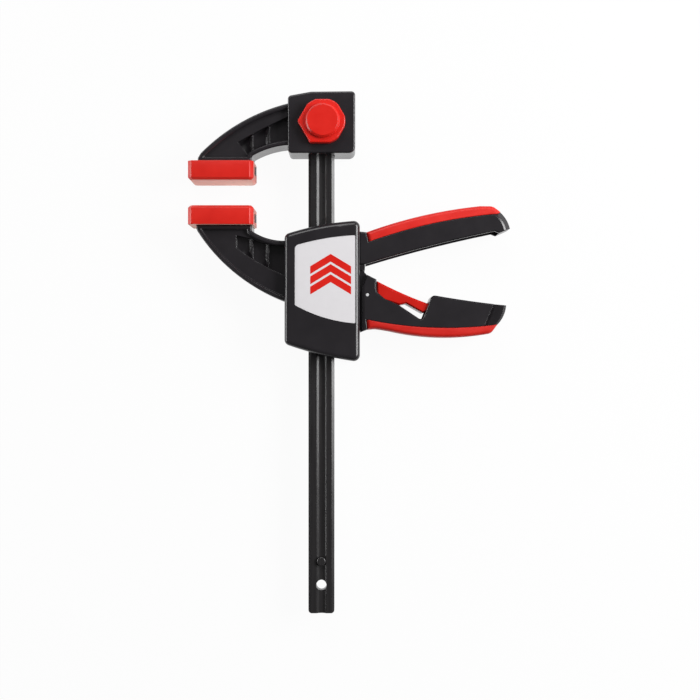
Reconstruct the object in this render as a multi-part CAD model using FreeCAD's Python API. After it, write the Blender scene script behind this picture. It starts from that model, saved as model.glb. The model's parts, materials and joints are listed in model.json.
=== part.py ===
import FreeCAD, Part
import math
import os

# A one-handed quick release bar clamp, lying on its rear cover. All sizes are millimetres.
# X points from the jaws to the handles, Y runs along the rail towards the fixed jaw, and
# Z points out of the front cover. The origin is the middle of the fixed jaw's clamping
# face. Pieces of the moving jaw are placed from its own face, so that the opening between
# the jaws can be changed.

# Shared by every cut, so that it passes right through.
OVER = 1.0
# Gaps between pieces: pressed together, running on a pin, sliding, and standing clear.
PRESS_GAP = 0.02
RUN_GAP = 0.06
SLIDE_GAP = 0.2
CLEAR_GAP = 0.35
TOUCH_GAP = 0.15

# Rail
REACH = 65.7
RAIL_WIDTH = 17.0
RAIL_THICK = 7.4
RAIL_ABOVE = 55.7
RAIL_BELOW = 283.3
RAIL_BEVEL_WIDTH = 1.8
RAIL_BEVEL_DEPTH = 0.9
RAIL_END_ROUND = 2.0
GROOVE_WIDTH = 6.4
GROOVE_DEPTH = 1.2
END_HOLE_RADIUS = 3.4
END_HOLE_UP = 18.4
STOP_UP = 34.3
STOP_RADIUS = 2.9
STOP_PROUD = 2.0
STOP_DOME = 0.8

# Jaw pads and the tongues that they are pushed onto
OPENING = 16.5
PAD_LENGTH = 42.6
PAD_SHIFT = 0.6
PAD_HEIGHT = 12.4
PAD_DEPTH = 30.0
PAD_SIDE_BEVEL = 2.5
PAD_FACE_BEVEL = 1.5
PAD_SKIN = 4.5
TONGUE_LENGTH = 30.0
TONGUE_DEPTH = 17.0
TONGUE_SHIFT = 2.5
CATCH_HEIGHT = 5.0
CATCH_DEPTH = 6.0
CATCH_UP = 7.3
CATCH_PROUD = 0.7

# Arms that carry the pads
ARM_DEPTH = 22.0
ARM_RIM = 3.2
ARM_RIM_BEVEL = 0.8
ARM_RECESS = 2.6
SCOOP_DEPTH = 4.6
SCOOP_RAMP = 9.6
SCOOP_FLAT = 0.4
FIXED_ARM_RISE = 37.4
MOVING_ARM_DROP = 49.8

# Head of the fixed jaw
HEAD_LEFT_OF_RAIL = 21.6
HEAD_WIDTH = 43.8
HEAD_HEIGHT = 40.2
HEAD_DEPTH = 26.0
HEAD_FOOT = 17.5
HEAD_CORNER = 2.6
HEAD_HEEL = 4.2
HEAD_EDGE = 1.3

# Knob, its lock pin and what holds them
KNOB_FROM_RAIL = 1.1
KNOB_UP = 37.4
KNOB_APOTHEM = 14.0
KNOB_ROUND = 14.6
KNOB_BASE = 5.0
KNOB_DISC_RADIUS = 10.9
KNOB_HEIGHT = 8.0
KNOB_EDGE = 0.8
KNOB_DISC_BEVEL = 1.1
KNOB_CROWN = 1.9
SLEEVE_RADIUS = 5.6
SLEEVE_BORE = 4.4
SLEEVE_LIP = 1.4
RING_OUTSIDE = 6.7
RING_INSIDE = 4.95
RING_THICK = 1.0
RING_ABOVE_SLEEVE = 2.2
RING_OPENING = 3.0
LOCK_PIN_RADIUS = 2.6
LOCK_PIN_FLANGE = 1.3
LOCK_PIN_STEM_RADIUS = 1.3
LOCK_PIN_STEM = 3.0
LOCK_PIN_GRIP = 3.2
LOCK_SPRING_RADIUS = 2.9
LOCK_SPRING_WIRE = 0.7
LOCK_SPRING_TURNS = 4

# Casing: the middle frame is part of the moving jaw, with a cover on each side
CASE_FROM_FACE = 9.9
CASE_LEFT_OF_RAIL = 23.7
CASE_RIGHT_OF_RAIL = 25.2
CASE_HEIGHT = 91.8
CASE_DEPTH = 32.0
CASE_CORNER = 4.0
CASE_ROUND = 3.4
CASE_WALL = 3.2
FRAME_DEPTH = 22.0
FRAME_INSET = 0.3
COVER_SKIN = 2.2
CAVITY_LEFT = 4.0
CAVITY_FOOT = 14.2
COVER_SCREW_RADIUS = 1.45
COVER_SCREW_HEAD = 2.7
COVER_SCREW_HEAD_HEIGHT = 1.8
COVER_SCREW_SUNK = 0.5
COVER_SCREW_COVERED = 3.0
COVER_SCREW_SLOT = 0.7
BOSS_RADIUS = 3.1
LABEL_THICK = 0.8
LABEL_SUNK = 0.25
LABEL_CORNER = 0.8
LABEL_BROAD_CORNER = 3.0

# Handles
UPPER_REACH = 95.3
UPPER_RISE = 39.5
UPPER_ROOT_RIGHT = 2.8
UPPER_ROOT_FROM_FACE = 39.7
LOWER_REACH = 92.5
LOWER_DROP = 41.7
LOWER_TOP_FROM_FACE = 44.1
HANDLE_DEPTH = 24.0
HANDLE_EDGE = 0.8
GRIP_PROUD = 0.3
GRIP_EDGE = 2.4
SEAM_BEVEL = 0.4
UPPER_END_SLOPE = 3.6
LOWER_END_SLOPE = 2.0
LOWER_NEAR_SLOPE = 2.0
HOLLOW_WALL = 2.6
HOLLOW_RIB = 1.6
HOLLOW_RIBS = 3
HOLLOW_RIB_SET_BACK = 4.0
UPPER_GRIP_TIP_ROUND = 6.0
LOWER_GRIP_TIP_ROUND = 5.0
LOWER_GRIP_HEEL_ROUND = 12.0
POCKET_WALL_ROUND = 5.0
POCKET_FLOOR_ROUND = 8.0
SLOT_END_ROUND = 2.2
SHOULDER_ROUND = 3.0
LIP_GROOVE_WIDTH = 8.0
LIP_GROOVE_WALL = 0.5
LIP_GROOVE_DEPTH = 3.2
NECK_BELOW_ROOT = 2.2
NECK_PAST_ROOT = 0.5
EAR_PAST_CASE = 3.4
EAR_BELOW_NECK = 4.0
EAR_THICK = 2.4
EAR_CORNER = 1.2

# Lower handle inside the casing
PIVOT_FROM_SIDE = 5.1
PIVOT_FROM_FACE = 55.0
PIVOT_RADIUS = 1.8
HUB_RADIUS = 5.2
HUB_DEPTH = 17.0
HUB_SHOULDER = 14.3
HUB_CROWN = 12.2
NOSE_OUT = 7.6
NOSE_DOWN = 1.9
NOSE_RADIUS = 1.6

# Release lever
LEVER_PIN_OUT = 10.1
LEVER_PIN_DOWN = 3.0
LEVER_PIN_RADIUS = 1.0
LEVER_DEPTH = 20.0
LEVER_SHANK_DEPTH = 12.0
LEVER_ARM_DEPTH = 6.4
LEVER_ARM_HALF = 1.4
LEVER_TIP_UP = 4.7
LEVER_EYE_RADIUS = 3.4
LEVER_EDGE = 1.0
LEVER_NOSE_ROUND = 1.5
LEVER_TIP_ROUND = 2.0
LEVER_HEEL_ROUND = 4.0
LEVER_LAP = 0.5
LEVER_PRESS = 5.0

# Brake plate, its spring, and the parts that let it go
BRAKE_FROM_FACE = 26.1
BRAKE_THICK = 3.0
BRAKE_LEFT = 15.4
BRAKE_RIGHT = 13.4
BRAKE_HEIGHT = 18.0
BRAKE_FULCRUM = 14.2
BRAKE_TILT = 3.0
BRAKE_PUSH = 11.8
PLATE_GRIP_GAP = 0.09
FULCRUM_WIDTH = 3.0
FULCRUM_TIP = 0.9
BRAKE_SPRING_RADIUS = 2.1
BRAKE_SPRING_WIRE = 0.7
BRAKE_SPRING_TURNS = 6
BRAKE_SPRING_SEAT = 14.0
LEDGE_THICK = 2.4
ROCKER_THICK = 2.4
ROCKER_DEPTH = 6.0
ROCKER_PIN_RADIUS = 1.0
ROCKER_EYE_RADIUS = 2.2
ROD_WIDTH = 3.0
ROD_FOOT_WIDTH = 5.6
ROD_FOOT_THICK = 2.0
GUIDE_LENGTH = 6.0
GUIDE_WIDTH = 7.0
GUIDE_DEPTH = 9.0

# Drive plate and its spring
DRIVE_THICK = 3.2
DRIVE_LEFT = 15.4
DRIVE_RIGHT = 15.8
DRIVE_HEIGHT = 20.0
DRIVE_SPRING_RADIUS = 10.7
DRIVE_SPRING_WIRE = 1.4
DRIVE_SPRING_TURNS = 6
PLATE_CORNER = 1.5
PLATE_WINDOW_GAP = 0.3

# Places that follow from the sizes above
rail_left = REACH - RAIL_WIDTH / 2
rail_right = REACH + RAIL_WIDTH / 2
rail_half = RAIL_THICK / 2
web_half = rail_half - GROOVE_DEPTH
moving_face = -OPENING
head_left = REACH - HEAD_LEFT_OF_RAIL
case_left = REACH - CASE_LEFT_OF_RAIL
case_right = REACH + CASE_RIGHT_OF_RAIL
case_width = case_right - case_left
case_top = moving_face - CASE_FROM_FACE
case_bottom = case_top - CASE_HEIGHT
case_half = CASE_DEPTH / 2
frame_half = FRAME_DEPTH / 2
cavity_half = case_half - COVER_SKIN
handle_half = HANDLE_DEPTH / 2
hub_half = HUB_DEPTH / 2
arm_half = ARM_DEPTH / 2
head_half = HEAD_DEPTH / 2
pivot_x = case_right - PIVOT_FROM_SIDE
pivot_y = moving_face - PIVOT_FROM_FACE
lever_pin_x = pivot_x + LEVER_PIN_OUT
lever_pin_y = pivot_y - LEVER_PIN_DOWN
knob_x = REACH + KNOB_FROM_RAIL
knob_seat = head_half + TOUCH_GAP
knob_top = head_half + KNOB_HEIGHT
root_x = case_right + UPPER_ROOT_RIGHT
root_y = moving_face - UPPER_ROOT_FROM_FACE
lower_y = moving_face - LOWER_TOP_FROM_FACE - LOWER_DROP
neck_y = root_y - NECK_BELOW_ROOT


def at(x, y, z=0.0):
    """A point or a direction."""
    return FreeCAD.Vector(x, y, z)


UP = at(0, 0, 1)
ALONG = at(0, 1, 0)


def spread(shares, corner, width, height):
    """An outline in millimetres from shares of a width and a height, from a corner."""
    return [[(corner[0] + sx * width, corner[1] + sy * height) for sx, sy in step] for step in shares]


def wire_of(outline, z):
    """A closed wire. Each step is [end] for a line, or [via, end] for an arc."""
    edges = []
    start = at(*outline[-1][-1], z)
    for step in outline:
        end = at(*step[-1], z)
        if len(step) == 1:
            edges.append(Part.LineSegment(start, end).toShape())
        else:
            edges.append(Part.Arc(start, at(*step[0], z), end).toShape())
        start = end
    return Part.Wire(edges)


def slab(outline, low, high):
    """An outline made solid between two heights."""
    return Part.Face(wire_of(outline, low)).extrude(at(0, 0, high - low))


def lengthwise(section, low, high):
    """A section, drawn in X and Z, made solid between two places along Y."""
    solid = slab(section, 0, high - low)
    solid.rotate(at(0, 0, 0), at(1, 0, 0), 90)
    solid.translate(at(0, high, 0))
    return solid


def box(x0, x1, y0, y1, z0, z1):
    """A block between two corners."""
    return Part.makeBox(x1 - x0, y1 - y0, z1 - z0, at(x0, y0, z0))


def peg(x, y, radius, low, high):
    """A round peg along Z."""
    return Part.makeCylinder(radius, high - low, at(x, y, low), UP)


def joined(first, *others):
    """Solids made one, without the seams between flush faces."""
    return first.fuse(list(others)).removeSplitter()


def cut(solid, *tools):
    """A solid with tools taken out of it."""
    for tool in tools:
        solid = solid.cut(tool)
    return solid


def face_edges(solid, z):
    """Edges that lie in the plane at height z."""
    near = OVER / 1000
    return [e for e in solid.Edges if all(abs(v.Z - z) < near for v in e.Vertexes)
            and abs(e.CenterOfMass.z - z) < near]


def upright_edges(solid, corners=None):
    """Straight edges along Z, all of them or those at given corners."""
    near = OVER / 100
    found = []
    for edge in solid.Edges:
        ends = edge.Vertexes
        if len(ends) != 2 or abs(ends[0].X - ends[1].X) > near or abs(ends[0].Y - ends[1].Y) > near:
            continue
        if corners is None or any(math.hypot(ends[0].X - x, ends[0].Y - y) < near for x, y in corners):
            found.append(edge)
    return found


def both_faces(solid, half, radius):
    """The edges of both flat faces of a slab, rounded."""
    return solid.makeFillet(radius, face_edges(solid, half) + face_edges(solid, -half))


def rounded_slab(outline, low, high, rounds):
    """A slab whose upright edges are rounded. Rounds gives a radius, or zero, for each step."""
    body = slab(outline, low, high)
    for radius in sorted(set(rounds) - {0}):
        corners = [step[-1] for step, wanted in zip(outline, rounds) if wanted == radius]
        body = body.makeFillet(radius, upright_edges(body, corners))
    return body


def end_edges(solid, half, far):
    """The edges of a slab's two faces at its far or near end along X."""
    edges = face_edges(solid, half) + face_edges(solid, -half)
    side = 1 if far else -1
    furthest = max(side * e.CenterOfMass.x for e in edges)
    return [e for e in edges if side * e.CenterOfMass.x > furthest - OVER / 10]


def bevelled(outline, half, rounds, bevel, seam_bevel, neighbour=(), far_slope=0, near_slope=0):
    """A slab with bevelled faces, more finely where it meets a neighbour's outline, and more
    broadly at its far and near ends."""
    body = rounded_slab(outline, -half, half, rounds)
    for slope, far in ((far_slope, True), (near_slope, False)):
        if slope:
            body = body.makeChamfer(slope, end_edges(body, half, far))
    shared = [step[-1] for step in neighbour]
    seams = []
    start = outline[-1][-1]
    for step in outline:
        end = step[-1]
        if start in shared and end in shared:
            seams.append(step[0] if len(step) > 1 else ((start[0] + end[0]) / 2, (start[1] + end[1]) / 2))
        start = end
    edges = face_edges(body, half) + face_edges(body, -half)
    fine = [e for e in edges if any(lies_on(e, x, y) for x, y in seams)]
    broad = [e for e in edges if not any(lies_on(e, x, y) for x, y in seams)]
    body = body.makeChamfer(bevel, broad)
    if not fine:
        return body
    edges = face_edges(body, half) + face_edges(body, -half)
    return body.makeChamfer(seam_bevel, [e for e in edges if any(lies_on(e, x, y) for x, y in seams)])


def lies_on(edge, x, y):
    """Whether an edge passes through a place, seen along Z."""
    return edge.distToShape(Part.Vertex(at(x, y, edge.Vertexes[0].Z)))[0] < OVER / 100


def mirrored(solid):
    """The same solid on the other side of the middle plane."""
    return solid.mirror(at(0, 0, 0), UP)


def arc_from(start, heading, end):
    """The arc that leaves start along heading and reaches end."""
    chord = end - start
    along = FreeCAD.Vector(chord).normalize()
    across = heading - along * heading.dot(along)
    turn = math.atan2(across.Length, heading.dot(along))
    bulge = chord.Length / 2 * math.tan(turn / 2)
    return Part.Arc(start, (start + end) * 0.5 + across.normalize() * bulge, end)


def coil(name, base, axis, radius, wire, length, turns):
    """A coil spring between its outer faces, as one tube on arcs of an eighth of a turn."""
    rise = length - wire
    pitch = rise / turns
    side = at(1, 0, 0)
    other = axis.cross(side)
    quarters = 4 * turns
    slope = math.hypot(2 * math.pi * radius, pitch)

    def point(angle):
        climb = wire / 2 + pitch * angle / (2 * math.pi)
        return base + side * (radius * math.cos(angle)) + other * (radius * math.sin(angle)) + axis * climb

    def heading(angle):
        flat = other * math.cos(angle) - side * math.sin(angle)
        return (flat * (2 * math.pi * radius) + axis * pitch) * (1 / slope)

    edges = []
    for quarter in range(quarters):
        a0 = math.pi / 2 * quarter
        a1 = math.pi / 2 * (quarter + 1)
        p0, p1, t0, t1 = point(a0), point(a1), heading(a0), heading(a1)
        gap = p1 - p0
        both = t0 + t1
        square = 2 * (1 - t0.dot(t1))
        reach = (math.sqrt(gap.dot(both) ** 2 + square * gap.dot(gap)) - gap.dot(both)) / square
        middle = (p0 + t0 * reach + p1 - t1 * reach) * 0.5
        edges.append(arc_from(p0, t0, middle).toShape())
        edges.append(arc_from(p1, t1 * -1, middle).toShape())
    path = Part.Wire(Part.__sortEdges__(edges))
    ring = Part.Wire(Part.makeCircle(wire / 2, point(0), heading(0)))
    tube = path.makePipeShell([ring], True, False)
    print(name, "least gap between turns", round(pitch - wire, 2))
    return tube


def rail_face(side):
    """One face of the rail's section from left to right: bevel, rounded groove, bevel."""
    top = side * rail_half
    half = GROOVE_WIDTH / 2
    low = side * (rail_half - RAIL_BEVEL_DEPTH)
    return [[(rail_left, low)], [(rail_left + RAIL_BEVEL_WIDTH, top)], [(REACH - half, top)],
            [(REACH, side * web_half), (REACH + half, top)], [(rail_right - RAIL_BEVEL_WIDTH, top)],
            [(rail_right, low)]]


def rail():
    """The steel bar: its section all along, a rounded foot, three cross holes."""
    low = -RAIL_BELOW
    under = rail_face(-1)
    places = [step[-1] for step in under]
    back = [step[:-1] + [place] for step, place in zip(under[1:], places)]
    section = rail_face(1) + [[places[-1]]] + back[::-1]
    bar = lengthwise(section, low, RAIL_ABOVE)
    foot = box(rail_left, rail_right, low, RAIL_ABOVE, -rail_half, rail_half)
    foot = foot.makeFillet(RAIL_END_ROUND, upright_edges(foot, [(rail_left, low), (rail_right, low)]))
    bar = bar.common(foot)
    end_hole = peg(REACH, low + END_HOLE_UP, END_HOLE_RADIUS, -rail_half - OVER, rail_half + OVER)
    stop_hole = peg(REACH, low + STOP_UP, STOP_RADIUS + PRESS_GAP, -rail_half - OVER, rail_half + OVER)
    lock_hole = peg(knob_x, KNOB_UP, LOCK_PIN_RADIUS + SLIDE_GAP, -rail_half - OVER, rail_half + OVER)
    return cut(bar, end_hole, stop_hole, lock_hole)


def rail_stop_pin():
    """A pin driven through the rail, proud of both faces, that stops the moving jaw."""
    half = rail_half + STOP_PROUD
    pin = peg(REACH, STOP_UP - RAIL_BELOW, STOP_RADIUS, -half, half)
    return both_faces(pin, half, STOP_DOME)


def jaw_pad(face, inward):
    """A cap with bevelled sides and a pocket, its clamping face towards the other jaw."""
    x0 = PAD_SHIFT - PAD_LENGTH / 2
    x1 = PAD_SHIFT + PAD_LENGTH / 2
    half = PAD_DEPTH / 2
    back = face + inward * PAD_HEIGHT
    pad = box(x0, x1, min(face, back), max(face, back), -half, half)
    sides = [e for e in pad.Edges if abs(e.Length - PAD_HEIGHT) < OVER / 100]
    pad = pad.makeChamfer(PAD_SIDE_BEVEL, sides)
    rim = [e for e in pad.Edges if all(abs(v.Y - face) < OVER / 100 for v in e.Vertexes)]
    pad = pad.makeChamfer(PAD_FACE_BEVEL, rim)
    tongue = pad_tongue(face, inward, SLIDE_GAP / 2)
    return pad.cut(tongue)


def pad_tongue(face, inward, grown):
    """What the pad is pushed onto, with the catch that holds it. Grown, it is the pocket."""
    left = TONGUE_SHIFT - TONGUE_LENGTH / 2 - grown
    right = TONGUE_SHIFT + TONGUE_LENGTH / 2 + grown
    half = TONGUE_DEPTH / 2 + grown
    near = face + inward * (PAD_SKIN - grown)
    far = face + inward * (PAD_HEIGHT + OVER)
    body = box(left, right, min(near, far), max(near, far), -half, half)
    middle = face + inward * CATCH_UP
    reach = PAD_SHIFT + PAD_LENGTH / 2 + CATCH_PROUD + 2 * grown
    nub = box(right - OVER, reach, middle - CATCH_HEIGHT / 2 - grown, middle + CATCH_HEIGHT / 2 + grown,
              -CATCH_DEPTH / 2 - grown, CATCH_DEPTH / 2 + grown)
    return joined(body, nub)


def scoop(outline, x0, x1, floor, top):
    """A pocket cell whose floor curves up to its right side, inside an outline."""
    ys = [y for step in outline for x, y in step]
    ramp = min(SCOOP_RAMP, x1 - x0 - SCOOP_FLAT)
    foot = x1 - ramp
    radius = (ramp ** 2 + SCOOP_DEPTH ** 2) / (2 * SCOOP_DEPTH)
    turn = math.asin(ramp / radius)
    via = (foot + radius * math.sin(turn / 2), floor + radius * (1 - math.cos(turn / 2)))
    shape = [[(x0, floor)], [(foot, floor)], [via, (x1, floor + SCOOP_DEPTH)], [(x1, top)], [(x0, top)]]
    upright = lengthwise(shape, min(ys) - OVER, max(ys) + OVER)
    return upright.common(slab(outline, floor - OVER, top + OVER))


def jaw_arm(arm_shares, scoop_shares, step_shares, corner, reach, rise):
    """A curved arm: a rim, a recess inside it, and stepped scoops along its inner edge."""
    outline = spread(arm_shares, corner, reach, rise)
    arm = slab(outline, -arm_half, arm_half)
    inside = Part.Face(wire_of(outline, arm_half - ARM_RECESS)).makeOffset2D(-ARM_RIM)
    recess = inside.extrude(at(0, 0, ARM_RECESS + OVER))
    arm = cut(arm, recess, mirrored(recess))
    arm = arm.makeChamfer(ARM_RIM_BEVEL, face_edges(arm, arm_half) + face_edges(arm, -arm_half))
    cells = spread(scoop_shares, corner, reach, rise)
    floor = arm_half - ARM_RECESS - SCOOP_DEPTH
    tools = []
    for left, right in zip(step_shares, step_shares[1:]):
        x0 = corner[0] + left * reach
        x1 = corner[0] + right * reach
        tools.append(scoop(cells, x0, x1, floor, arm_half + OVER))
    for tool in tools:
        arm = cut(arm, tool, mirrored(tool))
    return arm


# Steps of the arms, as shares of their reach and rise from the back of their pad
FIXED_ARM_SHARES = [
    [(-0.331, 0.055)], [(-0.286, 0.145)], [(0.296, 0.674), (1.09, 1.034)], [(1.09, 0.287)],
    [(0.760, 0.236), (0.482, 0.099)], [(0.462, 0.056)], [(0.462, 0.0)], [(-0.331, 0.0)]]
FIXED_SCOOP_SHARES = [
    [(0.600, 0.568), (1.02, 0.800)], [(1.02, 0.365)], [(0.714, 0.305), (0.482, 0.180)],
    [(0.400, 0.125)], [(0.255, 0.345)]]
FIXED_STEP_SHARES = [0.255, 0.471, 0.723, 1.15]
MOVING_ARM_SHARES = [
    [(-0.371, 0.050)], [(-0.352, 0.085)], [(0.206, 0.616), (1.09, 1.030)], [(1.09, 0.203)],
    [(0.700, 0.168), (0.500, 0.086)], [(0.488, 0.070)], [(0.488, 0.0)], [(-0.371, 0.0)]]
MOVING_SCOOP_SHARES = [
    [(0.245, 0.299)], [(0.571, 0.483), (1.02, 0.668)], [(1.02, 0.270)],
    [(0.745, 0.252), (0.488, 0.180)], [(0.245, 0.132)]]
MOVING_STEP_SHARES = [0.245, 0.498, 0.755, 1.15]

# Head outline, as shares of its width and height from its lower left corner
HEAD_SHARES = [
    [(0.0, 0.0)], [(1.0, 0.0)], [(1.0, 1.0)], [(0.345, 0.993)], [(0.0, 0.925)]]
HEAD_ROUNDS = [HEAD_CORNER, HEAD_HEEL, HEAD_CORNER, HEAD_CORNER, HEAD_CORNER]

# Casing outline, as shares of its width and height from its lower left corner
CASE_SHARES = [
    [(0.500, 0.048), (1.0, 0.0)], [(1.0, 1.0)], [(0.500, 0.970), (0.0, 0.902)], [(0.0, 0.128)]]
LABEL_SHARES = [
    [(0.500, 0.318), (0.942, 0.273)], [(0.942, 0.894)], [(0.500, 0.867), (0.141, 0.821)],
    [(0.141, 0.401)]]
LABEL_ROUNDS = [LABEL_CORNER, LABEL_CORNER, LABEL_BROAD_CORNER, LABEL_CORNER]
SCREW_SHARES = [(0.098, 0.835), (0.098, 0.185), (0.908, 0.937), (0.890, 0.100)]

# Handle outlines, as shares of their reach and height, with the radii at their first steps
UPPER_GRIP_SHARES = [
    [(0.333, 0.805), (0.792, 1.0)], [(0.880, 0.998)], [(0.932, 0.902)], [(0.914, 0.870)],
    [(0.500, 0.727), (0.030, 0.408)], [(0.013, 0.567)]]
UPPER_GRIP_ROUNDS = [0, UPPER_GRIP_TIP_ROUND]
UPPER_HANDLE_SHARES = [
    [(0.013, 0.567)], [(0.030, 0.408)], [(0.500, 0.727), (0.914, 0.870)], [(0.932, 0.902)],
    [(0.974, 0.779), (0.9985, 0.630)], [(0.922, 0.552)], [(0.890, 0.583)],
    [(0.417, 0.319), (0.0, 0.033)], [(-0.055, 0.033)], [(-0.055, 0.585)]]
# The hollow under the upper handle
HOLLOW_SHARES = [
    [(0.012, 0.205)], [(0.450, 0.511), (0.925, 0.760)], [(0.925, 0.0)], [(0.012, -0.100)]]
LOWER_GRIP_SHARES = [
    [(0.014, 0.281)], [(0.515, 0.151), (0.938, 0.201)], [(0.893, 0.065)],
    [(0.600, 0.0), (0.178, 0.103)], [(0.080, 0.138)], [(0.023, 0.127)]]
LOWER_GRIP_ROUNDS = [0, 0, LOWER_GRIP_TIP_ROUND, 0, LOWER_GRIP_HEEL_ROUND]
LOWER_HANDLE_SHARES = [
    [(0.0185, 0.981)], [(0.0862, 0.906)], [(0.0862, 0.720)], [(0.146, 0.604)], [(0.241, 0.511)],
    [(0.409, 0.262)], [(0.476, 0.665)], [(0.740, 0.571), (1.0, 0.501)], [(0.981, 0.339), (0.938, 0.201)],
    [(0.515, 0.151), (0.014, 0.281)], [(0.023, 0.127)], [(-0.027, 0.084)], [(-0.027, 0.712)]]
LOWER_HANDLE_ROUNDS = [0, 0, POCKET_WALL_ROUND, POCKET_FLOOR_ROUND, 0, SLOT_END_ROUND, SHOULDER_ROUND]
CHANNEL_SHARES = [
    [(0.0862, 0.950)], [(0.0862, 0.595)], [(0.150, 0.513)], [(0.385, 0.236)], [(0.474, 0.290)],
    [(0.474, 0.548)], [(0.452, 0.562)], [(0.300, 0.900)]]
LIP_GROOVE_SHARES = [(0.844, 0.155), (0.921, 0.560)]
HUB_SHARES = [
    [(-0.231, 0.294)], [(0.150, 0.800)], [(0.330, 0.785)], [(0.381, 0.920)], [(0.530, 0.845), (0.665, 0.715)],
    [(0.635, -0.455)], [(0.635, -1.783)], [(0.175, -1.874)], [(0.175, -0.455)], [(0.049, -0.329)]]
LEVER_SHARES = [
    [(0.0895, 0.885)], [(0.255, 0.705), (0.466, 0.518)], [(0.467, 0.430)], [(0.412, 0.385)],
    [(0.294, 0.532)], [(0.247, 0.510)], [(0.0895, 0.620)]]
LEVER_ROUNDS = [0, LEVER_NOSE_ROUND, LEVER_TIP_ROUND, 0, 0, 0, LEVER_HEEL_ROUND]
# The lever's shank and the room for it: places on its eye, and heights where the finger part begins
SHANK_EYE_SHARES = [(0.15, 0.98), (0.20, -0.97)]
SHANK_END_SHARES = [0.866, 0.659]
ROOM_EYE_SHARES = [(-0.20, 1.10), (0.20, -1.15)]
ROOM_END_SHARES = [0.899, 0.585]


def fixed_jaw():
    """Head, arm and tongue in one casting, with the slot that the rail's end stands in."""
    outline = spread(HEAD_SHARES, (head_left, HEAD_FOOT), HEAD_WIDTH, HEAD_HEIGHT)
    head = rounded_slab(outline, -head_half, head_half, HEAD_ROUNDS)
    head = both_faces(head, head_half, HEAD_EDGE)
    arm = jaw_arm(FIXED_ARM_SHARES, FIXED_SCOOP_SHARES, FIXED_STEP_SHARES, (0, PAD_HEIGHT), head_left,
                  FIXED_ARM_RISE)
    jaw = joined(head, arm, pad_tongue(0, 1, 0))
    half = rail_half + TOUCH_GAP
    slot = box(rail_left - TOUCH_GAP, rail_right + TOUCH_GAP, HEAD_FOOT - OVER, RAIL_ABOVE + TOUCH_GAP,
               -half, half)
    bore = peg(knob_x, KNOB_UP, SLEEVE_RADIUS + RUN_GAP, 0, head_half + OVER)
    ring_low = sleeve_foot() + RING_ABOVE_SLEEVE - SLIDE_GAP / 2
    ring_groove = peg(knob_x, KNOB_UP, RING_OUTSIDE + SLIDE_GAP, ring_low, ring_low + RING_THICK + SLIDE_GAP)
    return cut(jaw, slot, bore, ring_groove)


def sleeve_foot():
    """How low the knob's sleeve reaches: just above the rail."""
    return rail_half + CLEAR_GAP


def knob_place(radius, angle):
    """A place on the knob, from its middle."""
    return knob_x + radius * math.cos(angle), KNOB_UP + radius * math.sin(angle)


def knob_outline():
    """A hexagon with four of its corners rounded off and two left, which point at the jaw."""
    half_side = math.radians(30)
    half_round = half_side - math.acos(KNOB_APOTHEM / KNOB_ROUND)
    steps = []
    for corner in range(6):
        angle = 2 * half_side * corner
        if corner in (3, 4):
            steps.append([knob_place(KNOB_APOTHEM / math.cos(half_side), angle)])
        else:
            steps.append([knob_place(KNOB_ROUND, angle - half_round)])
            steps.append([knob_place(KNOB_ROUND, angle), knob_place(KNOB_ROUND, angle + half_round)])
    return steps


def knob():
    """The red knob: a cornered base, a raised disc, and a sleeve down into the head."""
    shoulder = knob_seat + KNOB_BASE
    base = slab(knob_outline(), knob_seat, shoulder)
    base = base.makeFillet(KNOB_EDGE, face_edges(base, shoulder))
    disc = peg(knob_x, KNOB_UP, KNOB_DISC_RADIUS, shoulder - OVER, knob_top)
    disc = disc.makeChamfer(KNOB_DISC_BEVEL, face_edges(disc, knob_top))
    sleeve = peg(knob_x, KNOB_UP, SLEEVE_RADIUS, sleeve_foot(), knob_seat + OVER)
    body = joined(base, disc, sleeve)
    bore = peg(knob_x, KNOB_UP, SLEEVE_BORE, sleeve_foot() + SLEEVE_LIP, knob_top - KNOB_CROWN)
    lip = peg(knob_x, KNOB_UP, LOCK_PIN_RADIUS + RUN_GAP, sleeve_foot() - OVER,
              sleeve_foot() + SLEEVE_LIP + OVER)
    low = sleeve_foot() + RING_ABOVE_SLEEVE - SLIDE_GAP / 2
    high = low + RING_THICK + SLIDE_GAP
    ring_groove = peg(knob_x, KNOB_UP, SLEEVE_RADIUS + OVER, low, high)
    ring_groove = ring_groove.cut(peg(knob_x, KNOB_UP, RING_INSIDE - SLIDE_GAP / 2, low - OVER, high + OVER))
    return cut(body, bore, lip, ring_groove)


def knob_ring():
    """The open spring ring that keeps the knob's sleeve in the head."""
    low = sleeve_foot() + RING_ABOVE_SLEEVE
    high = low + RING_THICK
    ring = peg(knob_x, KNOB_UP, RING_OUTSIDE, low, high)
    hole = peg(knob_x, KNOB_UP, RING_INSIDE, low - OVER, high + OVER)
    mouth = box(knob_x - RING_OPENING / 2, knob_x + RING_OPENING / 2, KNOB_UP, KNOB_UP + 2 * RING_OUTSIDE,
                low - OVER, high + OVER)
    return cut(ring, hole, mouth)


def flange_low():
    """Where the lock pin's flange rests, on the lip of the knob's sleeve."""
    return sleeve_foot() + SLEEVE_LIP + TOUCH_GAP


def lock_pin():
    """The stepped pin that goes through the knob's sleeve into the rail."""
    tip = rail_half - LOCK_PIN_GRIP
    flange = flange_low()
    shank = peg(knob_x, KNOB_UP, LOCK_PIN_RADIUS, tip, flange + LOCK_PIN_FLANGE)
    collar = peg(knob_x, KNOB_UP, SLEEVE_BORE - RUN_GAP, flange, flange + LOCK_PIN_FLANGE)
    stem = peg(knob_x, KNOB_UP, LOCK_PIN_STEM_RADIUS, flange, flange + LOCK_PIN_FLANGE + LOCK_PIN_STEM)
    return joined(shank, collar, stem)


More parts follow.
